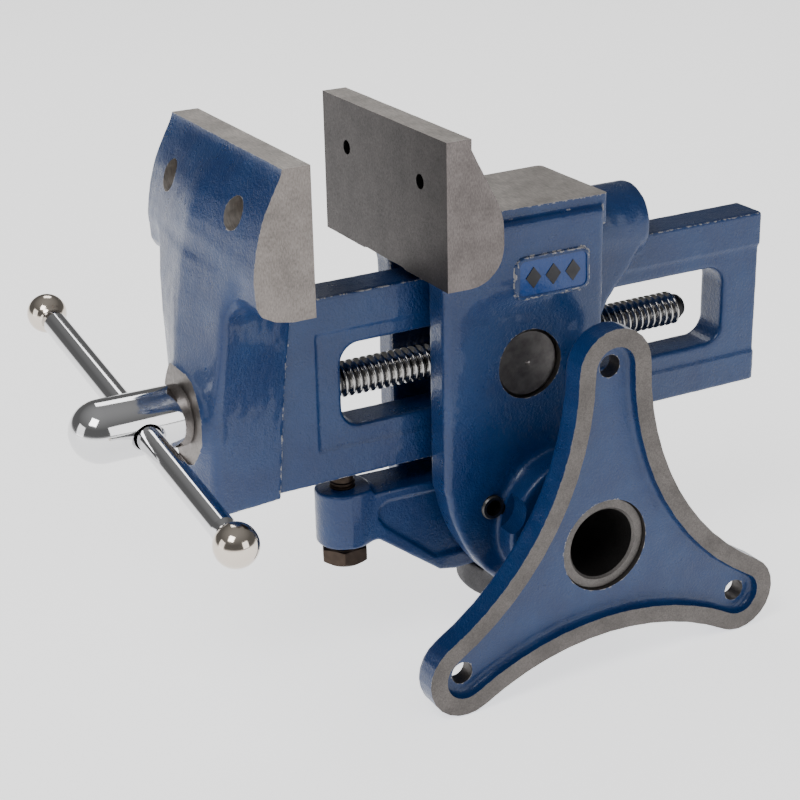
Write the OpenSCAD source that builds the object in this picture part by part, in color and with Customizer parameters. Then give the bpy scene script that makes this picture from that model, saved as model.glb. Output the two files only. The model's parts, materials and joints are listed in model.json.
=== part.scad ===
// Rotating bench vise on a tripod base. Millimetres.
//
// Part frame: the origin is the centre of the bolt circle on the base's recessed
// floor, +Y runs along the post into the vise and +Z is up.
// Every module draws in the screw frame: the origin is on the lead screw's axis at
// the vise's centre plane, +X is the closing direction of the moving jaw and +Z is
// up towards the jaws. in_part_frame() carries the screw frame to the part frame.

/* [Jaws] */
// Width of both jaws
jaw_w = 95; // [90:1:100]
// Opening between the jaw faces as drawn
jaw_gap = 51.7; // [20:0.1:60]
// Height of the jaw tops above the screw axis
jaw_top = 98.9; // [95:0.1:104]
// Height of the jaw undersides above the screw axis
jaw_bottom = 44.5; // [43.5:0.1:46]
// Thickness of a jaw at its top
jaw_top_t = 10; // [9:0.5:11]
// Greatest thickness of a jaw
jaw_max_t = 23.2; // [22:0.1:25]
// Distance from the centre plane to each jaw screw hole
jaw_hole_y = 28.35; // [24:0.05:34]
// Height of the jaw screw holes above the screw axis
jaw_hole_z = 80.8; // [76:0.1:84]
// Diameter of the tapped holes in the fixed jaw
jaw_tap_d = 5.5; // [4:0.1:6.5]
// Diameter of the screw head recesses in the moving jaw
jaw_recess_d = 11.3; // [9:0.1:12]

/* [Beam] */
// Thickness of the beam over its rails
beam_t = 17.1; // [16:0.1:18]
// Thickness of the beam's web
web_t = 15.6; // [15:0.1:16]
// Half height of the beam
beam_half_h = 37; // [36:0.1:38]
// Rear end of the beam
beam_end_x = 156.7; // [150:0.1:160]
// Front end of the slot
slot_x0 = -39; // [-41:0.5:-38]
// Rear end of the slot
slot_x1 = 138.6; // [135:0.1:140]
// Half height of the slot
slot_half_h = 16.5; // [15:0.1:17.5]
// Corner radius of the slot
slot_r = 8; // [4:0.5:12]

/* [Screw and handle] */
// Crest diameter of the lead screw
screw_d = 13.9; // [12:0.1:14.5]
// Pitch of the lead screw
pitch = 3; // [2.5:0.5:4]
// Rear end of the lead screw
screw_end_x = 122; // [110:1:130]
// Diameter of the bullet-shaped screw head
head_d = 23.3; // [22:0.1:25]
// Seat of the screw head on the moving jaw
head_seat_x = -100; // [-101:0.5:-99]
// Tip of the screw head
head_tip_x = -143; // [-146:0.5:-140]
// Cross hole of the handle
cross_x = -117.6; // [-120:0.1:-115]
// Tilt of the handle, far end up
handle_tilt = 7.6; // [0:0.1:60]
// Diameter of the handle bar
bar_d = 9.4; // [8:0.1:10]
// Distance from the screw axis to the near ball
near_ball_at = 86.4; // [70:0.1:100]
// Distance from the screw axis to the far ball
far_ball_at = 96.8; // [70:0.1:100]
// Diameter of the balls on the handle's ends
ball_d = 15.6; // [14:0.1:18]

/* [Body] */
// Half width of the body over its side walls
body_half_w = 27; // [26:0.5:28]
// Height of the anvil face above the screw axis
anvil_z = 62.5; // [61:0.1:64]
// Position of the barrel nut along the screw
nut_x = 33.5; // [32:0.1:35]
// Diameter of the barrel nut
nut_d = 27.9; // [26:0.1:28.5]
// Distance from the post axis to the screw axis
post_drop = 67.5; // [66:0.5:69]
// Position of both post sockets along the screw
post_x = 48; // [47:0.5:49]

/* [Post and base] */
// Outer diameter of the post tube
post_d = 38.1; // [37:0.1:39]
// Inner diameter of the post tube
post_bore_d = 28.4; // [24:0.1:30]
// Distance from the centre plane to the mounting face
face_y = 60.8; // [58:0.1:64]
// Diameter of the bolt circle
bolt_circle_d = 149; // [140:1:155]
// Diameter of the bolt holes
bolt_hole_d = 9; // [7:0.5:10]
// Thickness of the base
base_t = 11; // [10:0.5:14]
// Radius of the rounded arm tips
tip_r = 16; // [15:0.5:18]
// Radius of the hollow sides between the arms
side_r = 114; // [100:1:130]

/* [Lock] */
// Pivot of the lock lever along the screw
pivot_x = 16; // [15:0.5:18]
// Height of the lock lever's pivot
pivot_z = -56; // [-58:0.5:-54]
// Adjuster bolt's position along the screw
bolt_x = -36.5; // [-38:0.5:-35]
// Thread diameter of the adjuster bolt
bolt_d = 10; // [8:1:12]
// Width across flats of the adjuster bolt's head
bolt_af = 17; // [13:1:19]

/* [Hidden] */

$fn = 64;
// Overlap of pieces that are joined into one casting
lap = 0.5;
// Radial clearance of running fits
fit = 0.05;
// Reach of a cutter past the faces that it opens
past = 1;

jaw_half_w = jaw_w / 2;
fixed_face_x = -15.7;
moving_face_x = fixed_face_x - jaw_gap;

screw_r = screw_d / 2;
head_r = head_d / 2;
nut_r = nut_d / 2;
nut_half_l = 25;
post_r = post_d / 2;
base_back_y = -face_y + base_t;
rim_w = 7.2;
floor_depth = 4.3;
tube_recess = 6;
// Collar round the post on the base's back
collar_r = 27;
collar_l = 8;
tube_end_y = 38;

// Body planes
front_x = -5.5;
rear_x = 65.5;
block_top_z = 58.6;
beam_gap = 0.3;
sole_z = -beam_half_h - beam_gap;
channel_half_w = beam_t / 2 + 0.15;
mouth_half_w = 14.5;
mouth_x = 12;
boss_r = 29.4;
boss_end_y = 36;
boss_bottom_z = -104;
hood_r = 15.3;
hood_z = 42.3;
hood_end_x = 95.5;
recess_depth = 1.6;

// Lever sizes
lever_half_t = 10;
pin_r = 5;
pin_bore_r = 3.25;

// Column of the moving jaw: height, ridge x, front edge x, front half width,
// rear x, rear half width
COLUMN = [
    [60, -98.0, -91.8, 39, -59.5, 10.5],
    [30, -101.5, -94.5, 30, -60.6, 10.5],
    [4, -104.0, -96.4, 23, -64.0, 10.8],
    [-38, -100.5, -94.5, 15, -67.6, 11.2]
];

function arc(cx, cy, r, from, to, steps = 8) =
    [for (i = [0 : steps]) let (a = from + (to - from) * i / steps)
        [cx + r * cos(a), cy + r * sin(a)]];

function turned(points, a) =
    [for (p = points) [p[0] * cos(a) - p[1] * sin(a), p[0] * sin(a) + p[1] * cos(a)]];

// Side profile of a jaw in [depth from the face, height]
back_arc_r = 27;
heel_arc_r = 13.6;
back_slope = 27;
back_arc_z = 63;
jaw_land = 4;
JAW_PROFILE = concat(
    [[0, jaw_bottom]],
    arc(jaw_max_t - heel_arc_r, jaw_bottom + heel_arc_r, heel_arc_r, -90, 0),
    arc(jaw_max_t - back_arc_r, back_arc_z, back_arc_r, 0, back_slope),
    [[jaw_top_t, jaw_top - jaw_land], [jaw_top_t, jaw_top], [0, jaw_top]]
);
// Centre section of the moving jaw's back in [x, z]
JAW_RIDGE = [[-78, 94.5], [-96.6, 70], [-98.2, 60], [-98.9, 50], [-85, 45]];
jaw_screw_r = 3.3;
recess_land = 7;
tap_depth = 14;

// Beam: start of the slot's relief, and the rails above and below it
relief_x = -49.5;
beam_x0 = -75;
upper_rail_z = 22.5;
lower_rail_z = -23.5;
rail_lead = 1.5;

// Outline of the body's side walls in [x, z], below the fixed jaw
WALL = concat(
    [[front_x, 52], [front_x, -45]],
    arc(69.1, -33.5, 75, 190, 232),
    [[post_x, -94], [rear_x, -86], [rear_x, block_top_z], [4, block_top_z]]
);
// Outline of the hood's flanks, which carry the beam past the rear face
HOOD = [
    [rear_x - lap, hood_z], [94.5, hood_z], [93.5, 38], [86, 26.2], [80.5, 20],
    [76.5, 15], [73.2, 8], [72.5, -10], [72.5, -38], [rear_x - lap, -38]
];
hood_land = 0.8;
anvil_x = [21, 68.6];
anvil_half_w = 24;
// Badge pad on the near wall
badge_x = [25.5, 57.5];
badge_z = [28, 44.5];
badge_h = 0.8;
// Shoulders that carry the fixed jaw: their low and high ends
shoulder_step = 2;
shoulder_high_z = [48, 56];
shoulder_low_z = 34;
shoulder_high_x = 4;
shoulder_low_x = 14;
// Room for the lever inside the body
mouth_rise = 1.5;
mouth_low_z = -120;
lever_gap = 0.6;
lever_room_z = [-90, -40];
recess_r = 90;
recess_z = [-34, 28];
relief_r = 9;

// Lever: bolt boss, outline in [x, z] and the shallow panels in its flanks
lever_boss_r = 11;
lever_boss_z = [-67, -44];
cam_gap = 0.45;
LEVER = [
    [bolt_x, -45], [-29, -44], [-27, -46], [22, -47], [28, -52], [29.5, -80],
    [24, -87.5], [8, -88], [1, -86.5], [-26, -66], [bolt_x, -66]
];
PANEL = [
    [-22, -50.5], [2, -51.5], [2, -80], [-1, -80], [-23.5, -61], [-26, -57],
    [-25.5, -52.5]
];
panel_depth = 1.5;

// Adjuster bolt: its head, and its tip just under the beam
bolt_head_z = [-75.6, -68.4];
bolt_tip_z = -beam_half_h - 1.6;
bolt_chamfer = 1;

// The retaining pin stands beside the shank, half in its groove
retain_x = -82;
retain_r = 2.5;
retain_gap = 0.1;
groove_r = 5;
retain_y = groove_r + retain_r + retain_gap;
retain_top = 8;
retain_sunk = 0.5;
groove_half_l = retain_r + retain_gap;

// Half section of the screw in [radius, x], with one ridge for each pitch
thread_x0 = -42;
thread_depth = 1.6;
root_r = screw_r - thread_depth;
function ridge(x) = [
    [root_r, x], [screw_r, x + 0.30 * pitch], [screw_r, x + 0.58 * pitch],
    [root_r, x + 0.88 * pitch]
];
THREAD = [for (x = [thread_x0 : pitch : screw_end_x - pitch - 1]) each ridge(x)];
SHANK = [
    [0, head_seat_x - lap], [screw_r, head_seat_x - lap],
    [screw_r, retain_x - groove_half_l], [groove_r, retain_x - groove_half_l],
    [groove_r, retain_x + groove_half_l], [screw_r, retain_x + groove_half_l],
    [screw_r, thread_x0 - 3], [root_r, thread_x0 - 1.4]
];
tip_chamfer = 1;

// Cross hole of the handle: its gap round the bar and its flared mouths
cross_gap = 0.35;
flare_l = 3.6;
flare_sunk = 1.6;
flare_r = bar_d / 2 + 3.9;

// Ends of the handle bar: a shoulder in each ball and a spigot beyond it
spigot_r = 3.4;
spigot_l = 6;
shoulder_sunk = 1.2;
near_shoulder = near_ball_at - ball_d / 2 + shoulder_sunk;
far_shoulder = far_ball_at - ball_d / 2 + shoulder_sunk;

// Nut and pin ends, sunk below the walls
nut_sunk = 0.8;
nut_mark_r = 1.6;
pin_sunk = 0.5;

module in_part_frame() {
    translate([-post_x, face_y - floor_depth, post_drop]) children();
}

// Extrudes an X-Z outline along Y, from y0 to y1
module along_y(y0, y1) {
    translate([0, y1, 0]) rotate([90, 0, 0]) linear_extrude(y1 - y0) children();
}

module y_cylinder(x, z, r, y0, y1) {
    translate([x, y0, z]) rotate([-90, 0, 0]) cylinder(r = r, h = y1 - y0);
}

module x_cylinder(r, x0, x1, y = 0, z = 0) {
    translate([x0, y, z]) rotate([0, 90, 0]) cylinder(r = r, h = x1 - x0);
}

module block(x, y, z) {
    translate([x[0], y[0], z[0]]) cube([x[1] - x[0], y[1] - y[0], z[1] - z[0]]);
}

module rounded_slot(x0, x1, half_h, r) {
    block([x0, x1], [-beam_t, beam_t], [-half_h + r, half_h - r]);
    block([x0 + r, x1 - r], [-beam_t, beam_t], [-half_h, half_h]);
    for (x = [x0 + r, x1 - r], z = [-half_h + r, half_h - r])
        y_cylinder(x, z, r, -beam_t, beam_t);
}

// ---- Base -----------------------------------------------------------------

// Three-armed outline, moved inwards by inset: round tips joined by hollow sides
module arm_outline(inset) {
    tip_at = bolt_circle_d / 2;
    side_at = tip_at / 2 + sqrt(pow(tip_r + side_r, 2) - 0.75 * tip_at * tip_at);
    centre = side_at * [sin(60), cos(60)];
    lean = atan2(centre[1] - tip_at, centre[0]);
    arm = concat(
        arc(0, tip_at, tip_r - inset, 180 - lean, lean, 16),
        arc(centre[0], centre[1], side_r + inset, 180 + lean, 240 - lean, 14)
    );
    polygon([for (i = [0 : 2]) each turned(arm, -120 * i)]);
}

module tripod_base() {
    color([0.10, 0.22, 0.40]) in_part_frame() difference() {
        union() {
            translate([post_x, base_back_y, -post_drop]) rotate([90, 0, 0])
                linear_extrude(base_t) arm_outline(0);
            y_cylinder(post_x, -post_drop, collar_r, base_back_y - lap,
                base_back_y + collar_l);
        }
        translate([post_x, -face_y + floor_depth, -post_drop]) rotate([90, 0, 0])
            linear_extrude(floor_depth + past) arm_outline(rim_w);
        y_cylinder(post_x, -post_drop, post_r, -face_y - past,
            base_back_y + collar_l + past);
        for (i = [0 : 2])
            let (a = 120 * i, r = bolt_circle_d / 2)
            y_cylinder(post_x + r * sin(a), -post_drop + r * cos(a), bolt_hole_d / 2,
                -face_y, base_back_y + past);
    }
}

module post_tube() {
    color([0.42, 0.41, 0.40]) in_part_frame() difference() {
        y_cylinder(post_x, -post_drop, post_r, -face_y + tube_recess, tube_end_y);
        y_cylinder(post_x, -post_drop, post_bore_d / 2, -face_y, tube_end_y + past);
    }
}

// ---- Body -----------------------------------------------------------------

module hood() {
    x_cylinder(hood_r, rear_x - lap, hood_end_x, 0, hood_z);
    along_y(-hood_r + hood_land, hood_r - hood_land) polygon(HOOD);
}

// Joins the overhang of the fixed jaw to the wall on one side
module shoulder() {
    hull() {
        block([front_x + shoulder_step, shoulder_high_x], [body_half_w, jaw_half_w - 1.5],
            shoulder_high_z);
        block([front_x + shoulder_step, shoulder_low_x], [body_half_w - 1, body_half_w],
            [shoulder_low_z, shoulder_high_z[1]]);
    }
}

module body_solid() {
    along_y(-body_half_w, body_half_w) polygon(WALL);
    block(anvil_x, [-anvil_half_w, anvil_half_w], [block_top_z - lap, anvil_z]);
    hood();
    along_y(-jaw_half_w, jaw_half_w)
        translate([fixed_face_x, 0]) polygon(JAW_PROFILE);
    shoulder();
    mirror([0, 1, 0]) shoulder();
    // Socket bosses
    y_cylinder(post_x, -post_drop, boss_r, -boss_end_y, boss_end_y);
    translate([post_x, 0, boss_bottom_z])
        cylinder(r = boss_r, h = sole_z - boss_bottom_z);
    block(badge_x, [-body_half_w - badge_h, -body_half_w + lap], badge_z);
}

module body_casting() {
    color([0.10, 0.22, 0.40]) in_part_frame() difference() {
        body_solid();
        // Channel of the beam and the wider mouth in front of it
        block([fixed_face_x - past, hood_end_x + past], [-channel_half_w, channel_half_w],
            [sole_z, beam_half_h + beam_gap]);
        block([fixed_face_x - past, mouth_x], [-mouth_half_w, mouth_half_w],
            [mouth_low_z, beam_half_h + mouth_rise]);
        // Room for the lever, open to the post
        block([mouth_x - past, post_x],
            [-lever_half_t - lever_gap, lever_half_t + lever_gap], lever_room_z);
        // Hollow of the side walls round the nut
        for (s = [-1, 1])
            translate([nut_x + 3, s * (body_half_w + recess_r - recess_depth), recess_z[0]])
                cylinder(r = recess_r, h = recess_z[1] - recess_z[0], $fn = 180);
        y_cylinder(nut_x, 0, nut_r + fit, -body_half_w - past, body_half_w + past);
        y_cylinder(post_x, -post_drop, post_r + fit, -boss_end_y - past, boss_end_y + past);
        translate([post_x, 0, boss_bottom_z - past])
            cylinder(r = post_r + fit, h = sole_z - boss_bottom_z + 2 * past);
        y_cylinder(pivot_x, pivot_z, pin_r, -boss_end_y - past, boss_end_y + past);
        // Reliefs for the drift that drives the pivot pin
        for (s = [-1, 1])
            y_cylinder(pivot_x, pivot_z, relief_r,
                s > 0 ? body_half_w : -boss_end_y - past,
                s > 0 ? boss_end_y + past : -body_half_w);
        for (s = [-1, 1])
            x_cylinder(jaw_tap_d / 2, fixed_face_x - past, fixed_face_x + tap_depth,
                s * jaw_hole_y, jaw_hole_z);
    }
}

module barrel_nut() {
    color([0.30, 0.29, 0.28]) in_part_frame() difference() {
        y_cylinder(nut_x, 0, nut_r, -nut_half_l + nut_sunk, nut_half_l - nut_sunk);
        x_cylinder(screw_r + fit, nut_x - nut_r - past, nut_x + nut_r + past);
        // Centre marks left by turning
        for (s = [-1, 1])
            translate([nut_x, s * (nut_half_l - nut_sunk), 0]) rotate([s * 90, 0, 0])
                cylinder(r1 = nut_mark_r, r2 = 0, h = nut_mark_r);
    }
}

// ---- Moving jaw -----------------------------------------------------------

// One level of the column, a thin five-sided slice
module column_slice(c) {
    translate([0, 0, c[0]]) linear_extrude(0.01)
        polygon([[c[1], 0], [c[2], -c[3]], [c[4], -c[5]], [c[4], c[5]], [c[2], c[3]]]);
}

module column() {
    for (i = [0 : len(COLUMN) - 2])
        hull() {
            column_slice(COLUMN[i]);
            column_slice(COLUMN[i + 1]);
        }
}

// The jaw's back is a blunt ridge, proud of its ends
module jaw_back() {
    hull() {
        for (s = [-1, 1])
            translate([0, s * (jaw_half_w - 0.5), 0]) along_y(-0.5, 0.5)
                translate([moving_face_x, 0]) mirror([1, 0]) polygon(JAW_PROFILE);
        along_y(-1, 1) polygon(JAW_RIDGE);
    }
}

module beam() {
    wide = [-beam_t / 2, beam_t / 2];
    block([beam_x0, beam_end_x - rail_lead], [-web_t / 2, web_t / 2],
        [-beam_half_h, beam_half_h]);
    block([beam_x0, relief_x], wide, [-beam_half_h, beam_half_h]);
    block([relief_x, beam_end_x], wide, [upper_rail_z, beam_half_h]);
    block([relief_x, beam_end_x - rail_lead], wide, [-beam_half_h, lower_rail_z]);
}

module moving_jaw() {
    color([0.10, 0.22, 0.40]) in_part_frame() difference() {
        union() {
            jaw_back();
            column();
            beam();
        }
        rounded_slot(slot_x0, slot_x1, slot_half_h, slot_r);
        // The jaw's face is flat down to its underside
        block([moving_face_x, moving_face_x + 20], [-jaw_half_w, jaw_half_w],
            [jaw_bottom - 0.6, jaw_top]);
        // Machined seat of the screw head and the bore behind it
        x_cylinder(20, head_seat_x - 12, head_seat_x);
        x_cylinder(screw_r + fit, head_seat_x - past, slot_x0 + past);
        for (s = [-1, 1]) {
            x_cylinder(jaw_screw_r, moving_face_x - 30, moving_face_x + past,
                s * jaw_hole_y, jaw_hole_z);
            x_cylinder(jaw_recess_d / 2, moving_face_x - 30, moving_face_x - recess_land,
                s * jaw_hole_y, jaw_hole_z);
        }
        translate([retain_x, retain_y, -beam_half_h - 2])
            cylinder(r = retain_r, h = beam_half_h + 2 + retain_top);
    }
}

// ---- Screw and handle -----------------------------------------------------

module retaining_pin() {
    color([0.45, 0.45, 0.46]) in_part_frame()
        translate([retain_x, retain_y, -beam_half_h - retain_sunk])
            cylinder(r = retain_r, h = beam_half_h + retain_top);
}

module lead_screw() {
    dome_x = head_tip_x + head_r;
    color([0.55, 0.54, 0.53]) in_part_frame() difference() {
        rotate([0, 90, 0]) union() {
            rotate_extrude() polygon(concat(SHANK, THREAD,
                [[root_r, screw_end_x - tip_chamfer], [root_r - tip_chamfer, screw_end_x],
                    [0, screw_end_x]]));
            rotate_extrude() polygon(concat(
                [[0, head_seat_x], [head_r - tip_chamfer, head_seat_x],
                    [head_r, head_seat_x - tip_chamfer]],
                [for (a = [0 : 10 : 90]) [head_r * cos(a), dome_x - head_r * sin(a)]]));
        }
        translate([cross_x, 0, 0]) rotate([handle_tilt - 90, 0, 0]) {
            cylinder(r = bar_d / 2 + cross_gap, h = 3 * head_r, center = true);
            for (s = [-1, 1])
                translate([0, 0, s * (head_r - flare_sunk)]) rotate([s > 0 ? 0 : 180, 0, 0])
                    cylinder(r1 = bar_d / 2 + cross_gap, r2 = flare_r, h = flare_l);
        }
    }
}

// Draws along the handle: the local z axis runs from the near to the far ball
module along_handle() {
    translate([cross_x, 0, 0]) rotate([handle_tilt - 90, 0, 0]) children();
}

module handle_bar() {
    color([0.80, 0.80, 0.82]) in_part_frame() along_handle() {
        translate([0, 0, -near_shoulder])
            cylinder(r = bar_d / 2, h = near_shoulder + far_shoulder);
        translate([0, 0, -near_shoulder - spigot_l])
            cylinder(r = spigot_r, h = near_shoulder + far_shoulder + 2 * spigot_l);
    }
}

// A ball with a flat where it meets the bar's shoulder
module handle_ball(at, shoulder) {
    s = sign(at);
    along_handle() difference() {
        translate([0, 0, at]) sphere(d = ball_d, $fn = 96);
        translate([0, 0, s > 0 ? 0 : -shoulder]) cylinder(r = ball_d, h = shoulder);
        translate([0, 0, s > 0 ? shoulder - past : -shoulder - spigot_l])
            cylinder(r = spigot_r, h = spigot_l + past);
    }
}

module near_handle_ball() {
    color([0.74, 0.66, 0.58]) in_part_frame()
        handle_ball(-near_ball_at, near_shoulder);
}

module far_handle_ball() {
    color([0.74, 0.66, 0.58]) in_part_frame()
        handle_ball(far_ball_at, far_shoulder);
}

// ---- Lock -----------------------------------------------------------------

module lock_lever() {
    color([0.09, 0.18, 0.33]) in_part_frame() difference() {
        union() {
            translate([bolt_x, 0, lever_boss_z[0]])
                cylinder(r = lever_boss_r, h = lever_boss_z[1] - lever_boss_z[0]);
            along_y(-lever_half_t, lever_half_t) polygon(LEVER);
        }
        // Cam face that presses the post, and its running gap
        y_cylinder(post_x, -post_drop, post_r + cam_gap, -body_half_w, body_half_w);
        y_cylinder(pivot_x, pivot_z, pin_r + fit, -body_half_w, body_half_w);
        translate([bolt_x, 0, lever_boss_z[0] - past])
            cylinder(r = bolt_d / 2 + fit, h = 40);
        // Shallow panels in the arm's flanks
        for (s = [-1, 1])
            along_y(s > 0 ? lever_half_t - panel_depth : -lever_half_t - past,
                s > 0 ? lever_half_t + past : -lever_half_t + panel_depth)
                polygon(PANEL);
    }
}

module lever_pivot_pin() {
    color([0.36, 0.36, 0.37]) in_part_frame() difference() {
        y_cylinder(pivot_x, pivot_z, pin_r, -body_half_w + pin_sunk,
            body_half_w - pin_sunk);
        y_cylinder(pivot_x, pivot_z, pin_bore_r, -body_half_w - past, body_half_w + past);
    }
}

module adjuster_bolt() {
    color([0.22, 0.16, 0.12]) in_part_frame() translate([bolt_x, 0, 0]) {
        translate([0, 0, bolt_head_z[0]])
            cylinder(r = bolt_af / 2 / cos(30), h = bolt_head_z[1] - bolt_head_z[0], $fn = 6);
        translate([0, 0, bolt_head_z[1]])
            cylinder(r = bolt_d / 2, h = bolt_tip_z - bolt_head_z[1] - bolt_chamfer);
        translate([0, 0, bolt_tip_z - bolt_chamfer])
            cylinder(r = bolt_d / 2 - bolt_chamfer, h = bolt_chamfer);
    }
}

tripod_base();
post_tube();
body_casting();
barrel_nut();
moving_jaw();
retaining_pin();
lead_screw();
handle_bar();
near_handle_ball();
far_handle_ball();
lock_lever();
lever_pivot_pin();
adjuster_bolt();
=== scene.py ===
"""The looks of a rotating bench vise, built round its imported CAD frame."""
import json
import math

import bpy
import numpy as np
from mathutils import Euler, Matrix, Vector


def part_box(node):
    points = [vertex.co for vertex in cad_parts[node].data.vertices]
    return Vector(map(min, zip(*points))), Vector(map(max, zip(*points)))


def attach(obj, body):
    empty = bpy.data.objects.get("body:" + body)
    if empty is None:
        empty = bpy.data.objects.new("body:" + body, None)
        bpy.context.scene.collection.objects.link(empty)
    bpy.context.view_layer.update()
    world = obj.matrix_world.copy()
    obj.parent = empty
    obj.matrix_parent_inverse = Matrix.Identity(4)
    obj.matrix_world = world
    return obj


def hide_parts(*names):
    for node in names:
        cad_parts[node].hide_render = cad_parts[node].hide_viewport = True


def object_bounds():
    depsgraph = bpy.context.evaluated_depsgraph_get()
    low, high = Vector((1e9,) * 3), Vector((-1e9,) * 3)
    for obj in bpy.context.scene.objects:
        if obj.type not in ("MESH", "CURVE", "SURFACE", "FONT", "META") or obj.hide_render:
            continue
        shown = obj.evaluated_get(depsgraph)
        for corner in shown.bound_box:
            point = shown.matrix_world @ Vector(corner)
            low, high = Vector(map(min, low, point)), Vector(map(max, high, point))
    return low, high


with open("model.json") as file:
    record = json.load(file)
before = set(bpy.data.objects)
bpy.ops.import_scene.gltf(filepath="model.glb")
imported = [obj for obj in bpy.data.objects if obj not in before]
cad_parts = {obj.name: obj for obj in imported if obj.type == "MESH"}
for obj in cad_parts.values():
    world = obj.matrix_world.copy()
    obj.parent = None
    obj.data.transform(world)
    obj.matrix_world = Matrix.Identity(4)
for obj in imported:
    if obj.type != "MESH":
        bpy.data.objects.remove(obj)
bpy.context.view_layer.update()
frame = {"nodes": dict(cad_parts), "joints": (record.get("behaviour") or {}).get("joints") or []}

joints = {joint["name"]: joint for joint in frame["joints"]}
RNG = np.random.default_rng(7)

# Lengths are in millimetres, in the screw frame: the origin is on the lead screw's
# axis at the vise's centre plane, +X points to the rear and +Z up to the jaws.
MM = 0.001
AXIS_Y, AXIS_Z = joints["screw_spin"]["pos_m"][1:]
POST_X = 48.0
POST_Z = -67.5
NUT_X = 33.5
ORIGIN = Vector((-POST_X * MM, AXIS_Y, AXIS_Z))
# Metal left on a casting for machining
STOCK = 5.0
# Reach of a cutter that goes past every piece
FAR = 250.0


def cad(node):
    """Lowest and highest corner of a CAD node, in the screw frame."""
    return [(corner - ORIGIN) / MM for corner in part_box(node)]


# ---- Fields ---------------------------------------------------------------
# A casting is a field: a function of x, y and z that is negative inside the metal.


def smooth_min(a, b, k):
    h = np.maximum(k - np.abs(a - b), 0) / k
    return np.minimum(a, b) - h * h * k / 4


def smooth_max(a, b, k):
    return -smooth_min(-a, -b, k)


def rounded_max(a, b, r):
    """Where a and b are both negative, with their common edge rounded to radius r."""
    a, b = a + r, b + r
    outside = np.sqrt(np.maximum(a, 0) ** 2 + np.maximum(b, 0) ** 2)
    return outside + np.minimum(np.maximum(a, b), 0) - r


def between(v, low, high):
    """Distance outside the interval from low to high."""
    return np.abs(v - (low + high) / 2) - (high - low) / 2


def polygon(points, u, v):
    """Signed distance to a closed outline in the plane of u and v."""
    u, v = np.broadcast_arrays(u, v)
    nearest = np.full(u.shape, 1e9)
    inside = np.zeros(u.shape, bool)
    for (au, av), (bu, bv) in zip(points, points[1:] + points[:1]):
        du, dv = bu - au, bv - av
        t = np.clip(((u - au) * du + (v - av) * dv) / (du * du + dv * dv), 0, 1)
        nearest = np.minimum(nearest, (u - au - du * t) ** 2 + (v - av - dv * t) ** 2)
        if av != bv:
            inside ^= ((av > v) != (bv > v)) & (u < du * (v - av) / dv + au)
    return np.where(inside, -1, 1) * np.sqrt(nearest)


def circle(u, v, cu, cv, r):
    return np.sqrt((u - cu) ** 2 + (v - cv) ** 2) - r


def arc(cu, cv, r, start, end, steps=8):
    """Points of an arc, with its angles in degrees."""
    angles = [math.radians(start + (end - start) * i / steps) for i in range(steps + 1)]
    return [(cu + r * math.cos(a), cv + r * math.sin(a)) for a in angles]


def rounded_outline(points, r, steps=5):
    """The outline with each corner replaced by an arc of radius r."""
    result = []
    for i, corner in enumerate(points):
        corner = np.array(corner, float)
        before = np.array(points[i - 1], float) - corner
        after = np.array(points[(i + 1) % len(points)], float) - corner
        before, after = before / np.linalg.norm(before), after / np.linalg.norm(after)
        half = math.acos(np.clip(before @ after, -1, 1)) / 2
        bisector = (before + after) / np.linalg.norm(before + after)
        centre = corner + bisector * r / math.sin(half)
        first = corner + before * r / math.tan(half) - centre
        last = corner + after * r / math.tan(half) - centre
        turn = math.atan2(first[0] * last[1] - first[1] * last[0], first @ last)
        for step in range(steps + 1):
            angle = turn * step / steps
            c, s = math.cos(angle), math.sin(angle)
            result.append((centre[0] + first[0] * c - first[1] * s,
                           centre[1] + first[0] * s + first[1] * c))
    return result


def skin(field, low, high, step):
    """Points and quads of the surface where a field is zero, by surface nets."""
    axes = [np.arange(low[i] - 2 * step, high[i] + 3 * step, step) for i in range(3)]
    value = field(*np.meshgrid(*axes, indexing="ij", sparse=True))
    inside = value < 0
    corners = sum(
        inside[i:value.shape[0] - 1 + i, j:value.shape[1] - 1 + j, k:value.shape[2] - 1 + k]
        .astype(np.int8) for i in (0, 1) for j in (0, 1) for k in (0, 1))
    used = (corners > 0) & (corners < 8)
    index = np.full(used.shape, -1)
    index[used] = np.arange(used.sum())
    total = np.zeros((used.sum(), 3))
    count = np.zeros(used.sum())
    quads = []
    for axis in range(3):
        lower = [slice(None)] * 3
        upper = [slice(None)] * 3
        lower[axis], upper[axis] = slice(None, -1), slice(1, None)
        at = np.argwhere(inside[tuple(lower)] != inside[tuple(upper)])
        start = value[tuple(at.T)]
        beyond = at.copy()
        beyond[:, axis] += 1
        point = at.astype(float)
        point[:, axis] += start / (start - value[tuple(beyond.T)])
        ring = []
        for back_b, back_c in ((0, 0), (1, 0), (1, 1), (0, 1)):
            cell = at.copy()
            cell[:, (axis + 1) % 3] -= back_b
            cell[:, (axis + 2) % 3] -= back_c
            number = index[tuple(cell.T)]
            np.add.at(total, number, point)
            np.add.at(count, number, 1)
            ring.append(number)
        ring = np.stack(ring, 1)
        ring[start >= 0] = ring[start >= 0][:, ::-1]
        quads.append(ring)
    points = total / count[:, None] * step + [a[0] for a in axes]
    return points, np.concatenate(quads)


def slope(field, points, reach=0.05):
    """Value and gradient of a field at points."""
    columns = []
    for axis in range(3):
        ahead, behind = points.copy(), points.copy()
        ahead[:, axis] += reach
        behind[:, axis] -= reach
        columns.append((field(*ahead.T) - field(*behind.T)) / (2 * reach))
    return field(*points.T), np.stack(columns, 1)


def settle(field, points, step):
    """Moves points onto the surface of their field."""
    for _ in range(3):
        value, gradient = slope(field, points)
        square = np.maximum((gradient ** 2).sum(1), 0.05)
        move = gradient * (value / square)[:, None]
        length = np.sqrt((move ** 2).sum(1))[:, None]
        points = points - move * np.minimum(1, 0.5 * step / np.maximum(length, 1e-9))
    return points


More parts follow.
